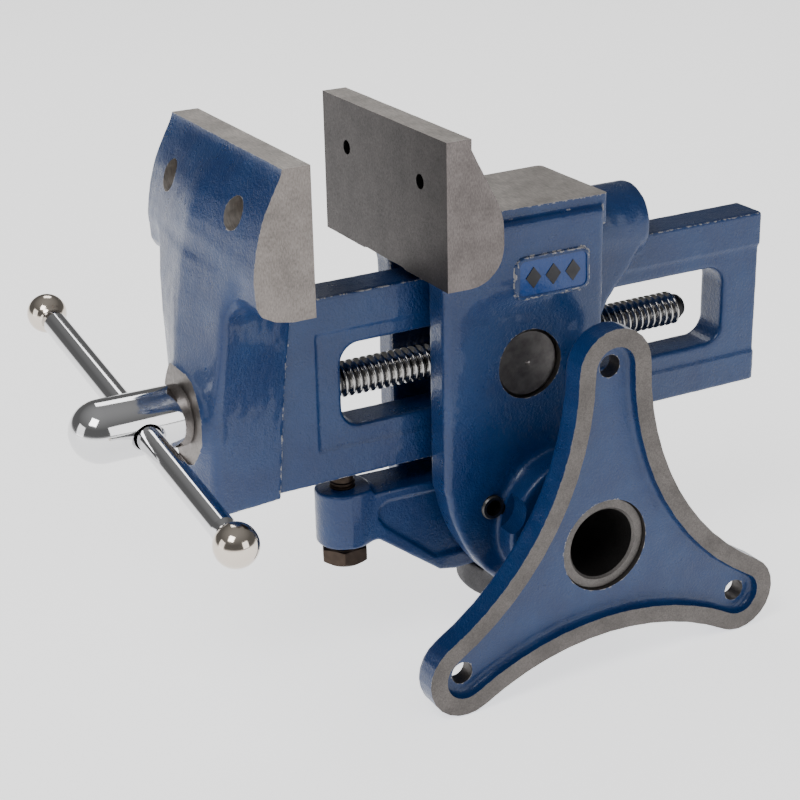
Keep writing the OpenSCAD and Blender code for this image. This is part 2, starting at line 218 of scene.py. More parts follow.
def ripples(points, waves=28, shortest=4.0, longest=16.0):
    """Gentle unevenness from seeded waves, between about -1 and 1."""
    total = np.zeros(len(points))
    for _ in range(waves):
        direction = RNG.normal(size=3)
        direction /= np.linalg.norm(direction)
        length = math.exp(RNG.uniform(math.log(shortest), math.log(longest)))
        total += np.sin(points @ direction * 2 * math.pi / length + RNG.uniform(0, 6.28))
    return total / math.sqrt(waves)


# ---- Meshes ---------------------------------------------------------------


def new_object(name, points, faces, material):
    """A mesh object from points in the screw frame."""
    mesh = bpy.data.meshes.new(name)
    points = np.asarray(points, float) * MM + np.array(ORIGIN)
    mesh.from_pydata(points.tolist(), [], [list(face) for face in faces])
    mesh.validate()
    mesh.shade_smooth()
    mesh.materials.append(material)
    piece = bpy.data.objects.new(name, mesh)
    bpy.context.scene.collection.objects.link(piece)
    return piece


def casting(name, field, node, step, material, unevenness=0.05):
    """A rough cast skin round a field, in the place of a CAD node."""
    low, high = cad(node)
    margin = Vector((STOCK, STOCK, STOCK))
    points, quads = skin(field, low - margin, high + margin, step)
    points = settle(field, points, step)
    _, gradient = slope(field, points)
    normals = gradient / np.maximum(np.linalg.norm(gradient, axis=1), 1e-6)[:, None]
    points = points + normals * (ripples(points) * unevenness)[:, None]
    return new_object(name, points, quads.tolist(), material)


def frame_of(axis):
    """Rotation that carries +Z to an axis."""
    return Vector((0, 0, 1)).rotation_difference(Vector(axis)).to_matrix()


def turned(name, profile, start, axis, material, segments=96):
    """A solid of revolution. The profile is a list of (distance along axis, radius)."""
    turn = frame_of(axis)
    points, faces, rings = [], [], []
    for along, radius in profile:
        if radius < 1e-6:
            rings.append([len(points)])
            points.append(Vector(start) + turn @ Vector((0, 0, along)))
            continue
        rings.append(list(range(len(points), len(points) + segments)))
        for i in range(segments):
            a = 2 * math.pi * i / segments
            spot = Vector((radius * math.cos(a), radius * math.sin(a), along))
            points.append(Vector(start) + turn @ spot)
    for low, high in zip(rings, rings[1:] + ([rings[0]] if len(rings[0]) > 1 else [])):
        for i in range(segments):
            j = (i + 1) % segments
            if len(low) == 1 and len(high) == 1:
                continue
            if len(low) == 1:
                faces.append((low[0], high[j], high[i]))
            elif len(high) == 1:
                faces.append((low[i], low[j], high[0]))
            else:
                faces.append((low[i], low[j], high[j], high[i]))
    return new_object(name, points, faces, material)


def rod(r, start, end, material, segments=96):
    """A round cutter from start to end."""
    axis = Vector(end) - Vector(start)
    profile = [(0, 0), (0, r), (axis.length, r), (axis.length, 0)]
    return turned("rod", profile, start, axis.normalized(), material, segments)


def block(x, y, z, material):
    """A box-shaped cutter."""
    points = [(a, b, c) for a in x for b in y for c in z]
    faces = [(0, 1, 3, 2), (4, 6, 7, 5), (0, 4, 5, 1), (2, 3, 7, 6), (0, 2, 6, 4),
             (1, 5, 7, 3)]
    return new_object("block", points, faces, material)


def prism(outline, low_y, high_y, material):
    """A cutter or boss with an outline in X and Z, between two values of Y."""
    count = len(outline)
    points = [(x, y, z) for y in (low_y, high_y) for x, z in outline]
    faces = [tuple(range(count)), tuple(reversed(range(count, 2 * count)))]
    for i in range(count):
        j = (i + 1) % count
        faces.append((j, i, i + count, j + count))
    return new_object("prism", points, faces, material)


def combine(piece, other, operation="DIFFERENCE"):
    """Cuts, joins or trims a piece with another, which is used up."""
    modifier = piece.modifiers.new("combine", "BOOLEAN")
    modifier.operation = operation
    modifier.object = other
    modifier.solver = "MANIFOLD"
    modifier.material_mode = "TRANSFER"
    graph = bpy.context.evaluated_depsgraph_get()
    mesh = bpy.data.meshes.new_from_object(piece.evaluated_get(graph))
    piece.modifiers.clear()
    piece.data = mesh
    bpy.data.objects.remove(other)


def mark_edges(mesh):
    """Stores where a mesh has sharp edges, so that enamel can be chipped there."""
    worn = np.zeros(len(mesh.vertices))
    for edge in mesh.edges:
        if edge.use_edge_sharp:
            worn[edge.vertices[0]] = worn[edge.vertices[1]] = 1
    whole = [i for i, material in enumerate(mesh.materials) if material in (BADGE, SMOOTH)]
    for face in mesh.polygons:
        if face.material_index in whole:
            worn[list(face.vertices)] = 0
    mesh.attributes.new("edge_wear", "FLOAT", "POINT").data.foreach_set("value", worn)


def finish(piece, body, slot, *nodes, sharp=35):
    """Creases a piece's sharp edges and hands it to its body in place of CAD nodes."""
    low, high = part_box(nodes[0])
    points = np.empty(3 * len(piece.data.vertices))
    piece.data.vertices.foreach_get("co", points)
    points = np.clip(points.reshape(-1, 3), low, high)
    piece.data.vertices.foreach_set("co", points.ravel())
    piece.data.shade_smooth()
    piece.data.set_sharp_from_angle(angle=math.radians(sharp))
    mark_edges(piece.data)
    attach(piece, body)
    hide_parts(*nodes)


# ---- Materials ------------------------------------------------------------


class Look:
    """A procedural material: a principled shader and the textures that feed it."""

    def __init__(self, name, color, roughness, metallic=0.0, coat=0.0, specular=0.5):
        self.material = bpy.data.materials.new(name)
        self.material.use_nodes = True
        self.tree = self.material.node_tree
        self.shader = self.tree.nodes["Principled BSDF"]
        self.set("Base Color", (*color, 1))
        self.set("Roughness", roughness)
        self.set("Metallic", metallic)
        self.set("Coat Weight", coat)
        self.set("Specular IOR Level", specular)
        self.place = self.tree.nodes.new("ShaderNodeTexCoord").outputs["Object"]
        self.relief = None

    def set(self, socket, value):
        self.shader.inputs[socket].default_value = value

    def node(self, kind, links=(), **values):
        node = self.tree.nodes.new(kind)
        for key, value in values.items():
            if hasattr(node, key):
                setattr(node, key, value)
            else:
                node.inputs[key.replace("_", " ")].default_value = value
        for key, source in dict(links).items():
            self.tree.links.new(source, node.inputs[key])
        return node

    def grain(self, size, detail=2.0, roughness=0.5, stretch=(1, 1, 1)):
        """Noise whose grain is size millimetres across, stretched along each axis."""
        scaled = self.node("ShaderNodeMapping", {"Vector": self.place})
        scaled.inputs["Scale"].default_value = [1 / (size * MM * s) for s in stretch]
        return self.node("ShaderNodeTexNoise", {"Vector": scaled.outputs[0]}, Scale=1.0,
                         Detail=detail, Roughness=roughness).outputs["Fac"]

    def ramp(self, source, *stops):
        """Colours or grey levels along a source, from (position, value) stops."""
        node = self.node("ShaderNodeValToRGB", {"Fac": source})
        elements = node.color_ramp.elements
        while len(elements) < len(stops):
            elements.new(0.5)
        for element, (position, value) in zip(elements, stops):
            element.position = position
            value = value if isinstance(value, tuple) else (value,) * 3
            element.color = (*value, 1)
        return node.outputs["Color"]

    def blend(self, factor, a, b, mode="MIX"):
        """Mixes two colours, each a socket or a tuple. The factor is a socket or a float."""
        node = self.node("ShaderNodeMix", data_type="RGBA", blend_type=mode)
        if isinstance(factor, float):
            node.inputs["Factor"].default_value = factor
        else:
            self.tree.links.new(factor, node.inputs["Factor"])
        for socket, value in (("A", a), ("B", b)):
            target = [s for s in node.inputs if s.name == socket and s.type == "RGBA"][0]
            if isinstance(value, tuple):
                target.default_value = (*value, 1)
            else:
                self.tree.links.new(value, target)
        return [s for s in node.outputs if s.type == "RGBA"][0]

    def feed(self, socket, source):
        self.tree.links.new(source, self.shader.inputs[socket])

    def rings(self, x, z, spacing):
        """Waves round an axis along Y through a point of the screw frame."""
        moved = self.node("ShaderNodeVectorMath", {0: self.place}, operation="SUBTRACT")
        moved.inputs[1].default_value = ORIGIN + Vector((x, 0, z)) * MM
        return self.node("ShaderNodeTexWave", {"Vector": moved.outputs[0]},
                         wave_type="RINGS", rings_direction="Y", Distortion=0.0,
                         Scale=math.pi / (10 * spacing * MM)).outputs["Fac"]

    def bump(self, source, height, strength=1.0):
        """Adds relief of a height in millimetres."""
        node = self.node("ShaderNodeBump", {"Height": source}, Strength=strength,
                         Distance=height * MM)
        if self.relief:
            self.tree.links.new(self.relief, node.inputs["Normal"])
        self.relief = node.outputs["Normal"]
        self.feed("Normal", self.relief)


def enamel(name, deep=(0.0017, 0.0215, 0.093), light=(0.0036, 0.030, 0.112), grain=1.1):
    """Glossy enamel with an orange-peel skin over the rough casting."""
    look = Look(name, deep, 0.3, coat=0.28, specular=0.32)
    look.set("Coat Roughness", 0.09)
    paint = look.blend(look.ramp(look.grain(18, 3), (0.38, 0.0), (0.66, 1.0)), deep, light)
    edge = look.node("ShaderNodeAttribute", attribute_name="edge_wear").outputs["Fac"]
    chips = look.blend(look.ramp(look.grain(2.2, 4, 0.7), (0.40, 0.0), (0.60, 1.0)),
                       (0.0, 0.0, 0.0), edge)
    chips = look.ramp(chips, (0.38, 0.0), (0.62, 0.8))
    look.feed("Base Color", look.blend(chips, paint, (0.30, 0.285, 0.27)))
    look.feed("Roughness", look.ramp(look.grain(7, 3), (0.3, 0.26), (0.7, 0.38)))
    look.bump(look.grain(4.5, 2), 0.18)
    look.bump(look.grain(grain, 3, 0.65), 0.34)
    return look.material


def bare_iron(name, tone=(0.33, 0.295, 0.27), stretch=(1, 1, 1), roughness=0.40):
    """Machined cast iron: fine mottling, faint cutter marks and cloudy stains."""
    look = Look(name, tone, roughness, metallic=0.85)
    dark = tuple(c * 0.74 for c in tone)
    pale = tuple(min(1, c * 1.14) for c in tone)
    mottled = look.blend(look.ramp(look.grain(0.5, 4, 0.65, stretch), (0.36, 0.0), (0.64, 1.0)),
                         dark, pale)
    clouds = look.ramp(look.grain(13, 5, 0.65), (0.35, 0.74), (0.62, 1.0))
    look.feed("Base Color", look.blend(1.0, mottled, clouds, "MULTIPLY"))
    look.feed("Roughness", look.ramp(look.grain(1.1, 3), (0.3, roughness - 0.05),
                                     (0.7, roughness + 0.08)))
    look.bump(look.grain(0.5, 2, 0.6, stretch), 0.025)
    return look.material


def plated(name, tone, roughness):
    """Bright plating, with only faint swirls in its polish."""
    look = Look(name, tone, roughness, metallic=1.0)
    look.feed("Roughness", look.ramp(look.grain(5, 3), (0.35, roughness),
                                     (0.75, roughness + 0.05)))
    look.bump(look.grain(9, 1), 0.02)
    return look.material


def turned_disc(name, tone, roughness, x, z):
    """Dark turned steel with the rings that the cutter left round its centre."""
    look = Look(name, tone, roughness, metallic=0.9)
    dark = tuple(c * 0.55 for c in tone)
    look.feed("Base Color", look.blend(look.ramp(look.grain(5, 4, 0.6), (0.3, 0.0),
                                                 (0.7, 1.0)), dark, tone))
    look.bump(look.rings(x, z, 0.55), 0.014)
    look.bump(look.grain(1.5, 3), 0.02)
    return look.material


def turned_steel(name, tone, roughness, grain=0.6, stretch=(1, 1, 1), metallic=1.0):
    """Turned or drawn steel, with fine lines along its long grain."""
    look = Look(name, tone, roughness, metallic=metallic)
    dark = tuple(c * 0.7 for c in tone)
    look.feed("Base Color", look.blend(look.ramp(look.grain(grain * 4, 3), (0.3, 0.0),
                                                 (0.7, 1.0)), dark, tone))
    look.feed("Roughness", look.ramp(look.grain(3, 3), (0.3, roughness * 0.85),
                                     (0.7, roughness * 1.3)))
    look.bump(look.grain(grain, 2, 0.6, stretch), 0.012)
    return look.material


ENAMEL = enamel("blue_enamel")
SMOOTH = enamel("smooth_enamel")
# Machined iron in lit and shaded copies: painted light on the tops, painted shade by degrees on
# the ends, sides, rim and jaw faces
IRON_PAINTED_LIT = bare_iron("iron_painted_lit", (0.55, 0.51, 0.475), stretch=(1, 9, 9))
IRON_PAINTED_SHADE = bare_iron("iron_painted_shade", (0.072, 0.064, 0.062), roughness=0.46)
IRON_PAINTED_HALF_LIT = bare_iron("iron_painted_half_lit", (0.215, 0.193, 0.18), stretch=(1, 1, 2.5))
IRON_PAINTED_HALF_SHADE = bare_iron("iron_painted_half_shade", (0.155, 0.137, 0.132), stretch=(1, 1, 2.5))
RIM_IRON_PAINTED_SHADE = bare_iron("base_rim_painted_shade", (0.125, 0.114, 0.108), roughness=0.44)
TUBE = bare_iron("tube_steel", (0.14, 0.13, 0.124), roughness=0.5)
DARK_IRON = bare_iron("dark_iron", (0.07, 0.068, 0.07), roughness=0.55)
# Darker steel for the post's bore: painted shade inside it
TUBE_BORE_SHADE = bare_iron("tube_bore_painted_shade", (0.035, 0.032, 0.032), roughness=0.6)
NUT = turned_disc("nut_steel", (0.20, 0.187, 0.18), 0.32, NUT_X, 0)
CHROME = plated("chrome", (0.70, 0.70, 0.71), 0.06)
BALL = plated("polished_ball", (0.66, 0.59, 0.51), 0.10)
THREAD = turned_steel("oiled_thread", (0.42, 0.41, 0.40), 0.16)
# Near-black steel: painted shade in the thread's roots, the tapped holes, the bolt's bore and
# the bar's hole
SHADE_STEEL = turned_steel("steel_painted_shade", (0.03, 0.03, 0.032), 0.4)
BOLT = turned_steel("bolt_oxide", (0.055, 0.038, 0.028), 0.42, metallic=0.8)
PIN = turned_steel("roll_pin", (0.10, 0.097, 0.095), 0.32)
INK = turned_steel("badge_ink", (0.012, 0.012, 0.016), 0.4, metallic=0.2)
BADGE = enamel("badge_blue", (0.002, 0.036, 0.17), (0.003, 0.042, 0.19), grain=3)

# ---- Base -----------------------------------------------------------------

BASE_RIM_Y = cad("tripod_base")[0].y
BASE_BACK_Y = BASE_RIM_Y + 11
FLOOR_Y = BASE_RIM_Y + 4.3
BASE_CUT_Y = -70, -20
RIM_W = 7.2
BOLT_CIRCLE_R = 74.5
BOLT_HOLE_R = 4.5
COLLAR_R = 27
COLLAR_Y = -55, BASE_BACK_Y + 8
POST_R = 19.05
POST_BORE_R = 14.2


def arm_outline(inset, tip_r=16, side_r=114):
    """Three round tips joined by hollow sides, about the post's axis."""
    side_at = BOLT_CIRCLE_R / 2 + math.sqrt(
        (tip_r + side_r) ** 2 - 0.75 * BOLT_CIRCLE_R ** 2)
    centre = side_at * math.sin(math.radians(60)), side_at * 0.5
    lean = math.degrees(math.atan2(centre[1] - BOLT_CIRCLE_R, centre[0]))
    arm = arc(0, BOLT_CIRCLE_R, tip_r - inset, 180 - lean, lean, 12)
    arm += arc(*centre, side_r + inset, 180 + lean, 240 - lean, 12)[1:-1]
    points = []
    for i in range(3):
        c, s = math.cos(math.radians(-120 * i)), math.sin(math.radians(-120 * i))
        points += [(u * c - v * s, u * s + v * c) for u, v in arm]
    return points


ARMS = arm_outline(0)
ARMS_INNER = arm_outline(RIM_W)


def base_field(x, y, z):
    u, v = x - POST_X, z - POST_Z
    plate = rounded_max(polygon(ARMS, u, v), between(y, BASE_RIM_Y - STOCK, BASE_BACK_Y), 2.2)
    collar = rounded_max(circle(u, v, 0, 0, COLLAR_R), between(y, *COLLAR_Y), 2)
    floor = smooth_max(polygon(ARMS_INNER, u, v), y - FLOOR_Y, 2.6)
    return smooth_max(smooth_min(plate, collar, 7), -floor, 1.2)


def make_base():
    piece = casting("base_casting", base_field, "tripod_base", 1.0, ENAMEL, 0.04)
    start, end = BASE_CUT_Y
    # The rim and the bore take machined iron with painted shade
    combine(piece, block((-FAR, FAR), (-FAR, BASE_RIM_Y), (-FAR, FAR), RIM_IRON_PAINTED_SHADE))
    combine(piece, rod(POST_R, (POST_X, start, POST_Z), (POST_X, end, POST_Z), RIM_IRON_PAINTED_SHADE))
    for i in range(3):
        a = math.radians(120 * i)
        x, z = POST_X + BOLT_CIRCLE_R * math.sin(a), POST_Z + BOLT_CIRCLE_R * math.cos(a)
        combine(piece, rod(BOLT_HOLE_R, (x, start, z), (x, end, z), TUBE, 48))
    finish(piece, "base", "base_enamel", "tripod_base")


def make_tube():
    """The post, an open tube with chamfered ends."""
    low, high = cad("post_tube")
    length = high.y - low.y
    r, bore, outer, inner = POST_R, POST_BORE_R, 0.6, 0.9
    profile = [(0, bore + inner), (0, r - outer), (outer, r), (length - outer, r),
               (length, r - outer), (length, bore + inner), (length - inner, bore),
               (inner, bore)]
    piece = turned("post", profile, (POST_X, low.y, POST_Z), (0, 1, 0), TUBE)
    piece.data.materials.append(TUBE_BORE_SHADE)
    # Faces inside the bore take the darker steel, painted shade
    for face in piece.data.polygons:
        middle = (face.center - ORIGIN) / MM
        if math.hypot(middle.x - POST_X, middle.z - POST_Z) < bore + 0.2:
            face.material_index = 1
    finish(piece, "base", "post_steel", "post_tube", sharp=30)


# ---- Body -----------------------------------------------------------------

FRONT_X = -5.5
REAR_X = 65.5
FIXED_X = -15.7
JAW_GAP = 51.7
MOVING_X = FIXED_X - JAW_GAP
JAW_HALF_W = cad("moving_jaw")[1].y
JAW_TOP = cad("moving_jaw")[1].z
JAW_BOTTOM = 44.5
BODY_HALF_W = 27.0
PAD_Z = 62.5
# Screw holes of the jaws: tapped, clear and counterbored
HOLE_Y = 28.35
HOLE_Z = 80.8
TAPPED_R = 2.75
TAPPED_DEPTH = 14
CLEAR_R = 3.3
COUNTERBORE_R = 5.65
COUNTERBORE_REST = 7
NUT_R = 14.0
NUT_BORE_R = 7
SOCKET_R = POST_R + 0.05
PIVOT = (16.0, -56.0)
PIVOT_R = 5.0
PIVOT_RELIEF_R = 9
BOSS_R = 29.4
BOSS_END = 36.0
BOSS_BOTTOM = -104.0
BOSS_DARK_Z = -84
HOOD_Z = 42.3
HOOD_R = 15.3
HOOD_END = 95.5
FLANK_HALF_W = 14.4
# Hollows of the side walls, and the openings for the column, the beam and the lever
DISH_R = 92
DISH_DEPTH = 3.2
MOUTH_HALF_W = 14.5
MOUTH_TOP = 38.5
CHANNEL_HALF_W = 9.1
LEVER_SLOT_HALF_W = 10.8


def jaw_profile(top):
    """Side outline of a jaw: depth behind its face, and height."""
    heel = arc(23.2 - 13.6, JAW_BOTTOM + 13.6, 13.6, -90, 0)
    return [(-STOCK, JAW_BOTTOM)] + heel + arc(-3.8, 63, 27, 0, 27) + [
        (10, JAW_TOP - 4), (10, top), (-STOCK, top)]


JAW = jaw_profile(JAW_TOP + STOCK)
WALL = [(FRONT_X, 56), (FRONT_X, -45)] + arc(69.1, -33.5, 75, 190, 232) + [
    (POST_X, -94), (REAR_X, -86), (REAR_X, 58.6), (4, 58.6)]
FLANK = [(60, 42.3), (94.5, 42.3), (93.5, 38), (86, 26.2), (80.5, 20), (76.5, 15),
         (73.2, 8), (72.5, -10), (72.5, -38), (60, -38)]
DISH = rounded_outline([(-30, 27), (45, 27), (54, 16), (51, 2), (60, -30), (40, -60),
                        (14, -80), (-30, -80)], 5)
BADGE_PAD = rounded_outline([(25, 27.8), (58, 27.8), (57.6, 44.5), (25, 44.5)], 3.6)
BADGE_SINK = rounded_outline([(26.4, 29.2), (56.6, 29.2), (56.2, 43.1), (26.4, 43.1)], 2.4)
BADGE_Y = -28.2
BADGE_DEPTH = 0.45
DIAMOND_X = 32.6, 41.4, 50.2
DIAMOND_Z = 36.2
DIAMOND_W, DIAMOND_H = 3.4, 4.2
ANVIL = rounded_outline([(-4, -22), (68.6, -24), (68.6, 24), (-4, 22)], 2)


def body_field(x, y, z):
    side = np.abs(y)
    walls = rounded_max(polygon(WALL, x, z), side - BODY_HALF_W, 2.6)
    dish = smooth_max(polygon(DISH, x, z),
                      circle(x, side, 34, BODY_HALF_W + DISH_R - DISH_DEPTH, DISH_R), 6)
    walls = smooth_max(walls, -dish, 5)
    badge = rounded_max(polygon(BADGE_PAD, x, z), BADGE_Y - y, 0.5)
    walls = np.minimum(walls, smooth_max(badge, y + 20, 1))
    pad = rounded_max(polygon(ANVIL, x, y), between(z, 50, PAD_Z + STOCK), 1.2)
    walls = smooth_min(walls, pad, 1.5)
    hood = rounded_max(circle(y, z, 0, HOOD_Z, HOOD_R), between(x, 50, HOOD_END), 2)
    flank = rounded_max(polygon(FLANK, x, z), side - FLANK_HALF_W, 1.6)
    hood = smooth_min(hood, flank, 1.5)
    walls = smooth_min(walls, hood, 6)
    jaw = smooth_max(polygon(JAW, x - FIXED_X, z), side - JAW_HALF_W - STOCK, 0.5)
    walls = smooth_min(walls, jaw, 11)
    post_boss = rounded_max(circle(x, z, POST_X, POST_Z, BOSS_R), side - BOSS_END, 2)
    upright = rounded_max(circle(x, y, POST_X, 0, BOSS_R), between(z, BOSS_BOTTOM, -45), 2)
    walls = smooth_min(walls, smooth_min(post_boss, upright, 6), 3)
    mouth = smooth_max(side - MOUTH_HALF_W, between(x, -40, 12), 2)
    # In front of the walls the mouth rises to the jaw, so that the column can close
    mouth = smooth_max(mouth, z - np.where(x < FRONT_X - 0.3, JAW_BOTTOM, MOUTH_TOP), 1)
    channel = smooth_max(side - CHANNEL_HALF_W, between(z, -38, 37.8), 1)
    lever = smooth_max(smooth_max(side - LEVER_SLOT_HALF_W, between(z, -91, -39), 1),
                       between(x, 5, POST_X), 1)
    return smooth_max(walls, -np.minimum(np.minimum(mouth, channel), lever), 2)


def make_body():
    piece = casting("body", body_field, "body_casting", 1.0, ENAMEL)
    # The lower end of the upright boss takes a darker iron material
    piece.data.materials.append(DARK_IRON)
    for face in piece.data.polygons:
        middle = (face.center - ORIGIN) / MM
        on_boss = abs(math.hypot(middle.x - POST_X, middle.y) - BOSS_R) < 2.2
        if on_boss and middle.z < BOSS_DARK_Z and abs(middle.y) < BOSS_R:
            face.material_index = 1
    # Machined faces: jaw face, jaw top, jaw ends and anvil pad, in iron copies with painted
    # shade on the face and ends and painted light on the tops
    combine(piece, block((-FAR, FIXED_X), (-FAR, FAR), (-FAR, FAR), IRON_PAINTED_SHADE))
    combine(piece, block((-FAR, 12), (-FAR, FAR), (JAW_TOP, FAR), IRON_PAINTED_LIT))
    combine(piece, block((7.6, FAR), (-FAR, FAR), (PAD_Z, 90), IRON_PAINTED_LIT))
    for side in (-1, 1):
        reach = sorted((side * JAW_HALF_W, side * FAR))
        combine(piece, block((-FAR, 40), reach, (JAW_BOTTOM - 8, FAR), IRON_PAINTED_HALF_SHADE))
    combine(piece, rod(NUT_R, (NUT_X, -FAR, 0), (NUT_X, FAR, 0), NUT))
    combine(piece, rod(SOCKET_R, (POST_X, -FAR, POST_Z), (POST_X, FAR, POST_Z), TUBE))
    combine(piece, rod(SOCKET_R, (POST_X, 0, -FAR), (POST_X, 0, -37.5), TUBE))
    for side in (-1, 1):
        deep = sorted((side * BODY_HALF_W, side * FAR))
        x, z = PIVOT
        combine(piece, rod(PIVOT_RELIEF_R, (x, deep[0], z), (x, deep[1], z), SMOOTH))
        # Tapped holes in near-black steel: painted shade
        combine(piece, rod(TAPPED_R, (FIXED_X - 9, side * HOLE_Y, HOLE_Z),
                           (FIXED_X + TAPPED_DEPTH, side * HOLE_Y, HOLE_Z), SHADE_STEEL, 40))
    combine(piece, rod(PIVOT_R, (PIVOT[0], -FAR, PIVOT[1]), (PIVOT[0], FAR, PIVOT[1]), PIN,
                       48))
    combine(piece, prism(BADGE_SINK, -40, BADGE_Y + BADGE_DEPTH, BADGE))
    for x in DIAMOND_X:
        diamond = [(x - DIAMOND_W, DIAMOND_Z), (x, DIAMOND_Z - DIAMOND_H),
                   (x + DIAMOND_W, DIAMOND_Z), (x, DIAMOND_Z + DIAMOND_H)]
        combine(piece, prism(diamond, BADGE_Y + 0.15, BADGE_Y + 1.2, INK), "UNION")
    finish(piece, "body", "body_enamel", "body_casting")


def make_nut():
    """The cross nut: a turned disc end with a rim chamfer and a centre mark."""
    low, high = cad("barrel_nut")
    sunk = 1.7
    length = high.y - low.y - 2 * sunk
    r = NUT_R - 0.05
    face = [(0, 0), (0.5, 0.5), (0, 1.1), (0.12, 7), (0, r - 1.2), (1.2, r)]
    profile = face + [(length - a, b) for a, b in reversed(face)]
    piece = turned("cross_nut", profile, (NUT_X, low.y + sunk, 0), (0, 1, 0), NUT)
    combine(piece, rod(NUT_BORE_R, (0, 0, 0), (80, 0, 0), NUT, 64))
    finish(piece, "body", "nut_steel", "barrel_nut", sharp=25)


def make_pivot_pin():
    """The hollow pin, rolled from strip."""
    low, high = cad("lever_pivot_pin")
    length = high.y - low.y
    profile = [(0, 3.25), (0, 4.5), (0.6, 4.98), (length - 0.6, 4.98), (length, 4.5),
               (length, 3.25)]
    x, z = PIVOT
    piece = turned("roll_pin", profile, (x, low.y, z), (0, 1, 0), PIN, 64)
    finish(piece, "body", "roll_pin_steel", "lever_pivot_pin", sharp=30)


# ---- Moving jaw -----------------------------------------------------------

# Front of the moving jaw and its column: height, depth of the keel behind the jaw's
# face, and how fast the front falls back on each side of the keel
FRONT = np.array([
    (104, 10.0, 0.0), (98, 10.3, 0.0), (95.5, 11.9, 0.01), (90.6, 16.3, 0.045),
    (82.7, 22.2, 0.085), (74.8, 25.5, 0.105), (66.5, 27.5, 0.112), (57.9, 29.0, 0.125),
    (45, 31.4, 0.15), (30, 33.6, 0.22), (4, 36.0, 0.33), (-38, 33.1, 0.40),
    (-50, 32.0, 0.42)])
# Sides of the column: height, half width at its front, x and half width at its rear
COLUMN = np.array([
    (62, 36, -59.5, 10.8), (45, 30, -60.0, 10.5), (30, 27.5, -60.6, 10.5),
    (4, 21, -64.0, 10.8), (-38, 14, -67.6, 11.2), (-50, 12.5, -68.6, 11.3)])
COLUMN_EDGE = 27.5
HEAD_SEAT_X = -100.0
SEAT_GAP = 0.12
SPOT_FACE_R = 19
SCREW_BOSS_R = 16.8
SCREW_BOSS_END = -94
SCREW_BORE_R = 7.1
# The beam: its start, height, web, root beside the column, and edge rails
BEAM_START = -90
BEAM_HALF_H = 37
WEB_HALF_W = 7.8
ROOT_HALF_W = 8.55
RAIL_HALF_W = 8.5
HEEL = [(-STOCK, 45.4), (9, 45.4), (15.5, 46.6), (20.1, 49.2), (22.4, 52.7), (23.3, 57.9),
        (34, 78), (34, JAW_TOP + STOCK), (-STOCK, JAW_TOP + STOCK)]


def at_height(table, column, z):
    """A smoothed value from a table at a height."""
    heights = np.arange(-60, 112, 1.0)
    order = np.argsort(table[:, 0])
    value = np.interp(heights, table[order, 0], table[order, column])
    window = np.hanning(9)
    value = np.convolve(np.pad(value, 4, "edge"), window / window.sum(), "valid")
    return np.interp(z, heights, value)


def moving_jaw_field(x, y, z):
    side = np.abs(y)
    bent = np.sqrt(y * y + 4)
    depth = MOVING_X - x
    slant = at_height(FRONT, 2, z)
    front = (depth - at_height(FRONT, 1, z) + slant * bent) / np.sqrt(1 + slant ** 2)
    rear, rear_half = at_height(COLUMN, 2, z), at_height(COLUMN, 3, z)
    edge = MOVING_X - COLUMN_EDGE
    half_w = at_height(COLUMN, 1, z)
    taper = (half_w - rear_half) / (rear - edge)
    flank = (side - half_w + taper * (x - edge)) / np.sqrt(1 + taper ** 2)
    column = smooth_max(flank, between(z, -38, 62), 1.2)
    column = smooth_max(column, x - rear, 0.6)
    jaw = smooth_max(polygon(HEEL, depth, z), side - JAW_HALF_W - STOCK, 0.5)
    solid = smooth_min(jaw, column, 9)
    solid = smooth_max(solid, front, 3.5)
    # Boss round the screw, faced off for the seat of its head
    boss = rounded_max(circle(y, z, 0, 0, SCREW_BOSS_R),
                       between(x, HEAD_SEAT_X - 2.5, SCREW_BOSS_END), 1.5)
    solid = smooth_min(solid, boss, 5)
    solid = smooth_max(solid, np.where(z > JAW_BOTTOM - 0.6, x - MOVING_X - 3, x + 55), 0.5)
    for half_w, end, low, high, r in (
            (WEB_HALF_W, 156.0, -BEAM_HALF_H, BEAM_HALF_H, 0.8),
            (ROOT_HALF_W, -49.5, -BEAM_HALF_H, BEAM_HALF_H, 0.8),
            (RAIL_HALF_W, 156.6, 22.5, BEAM_HALF_H, 1),
            (RAIL_HALF_W, 156.2, -BEAM_HALF_H, -23.5, 1)):
        outline = np.maximum(between(x, BEAM_START, end), between(z, low, high))
        solid = np.minimum(solid, rounded_max(side - half_w, outline, r))
    slot = np.sqrt(np.maximum(between(x, -31, 130.6), 0) ** 2
                   + np.maximum(between(z, -8.5, 8.5), 0) ** 2) - 8
    return smooth_max(solid, -slot, 2)


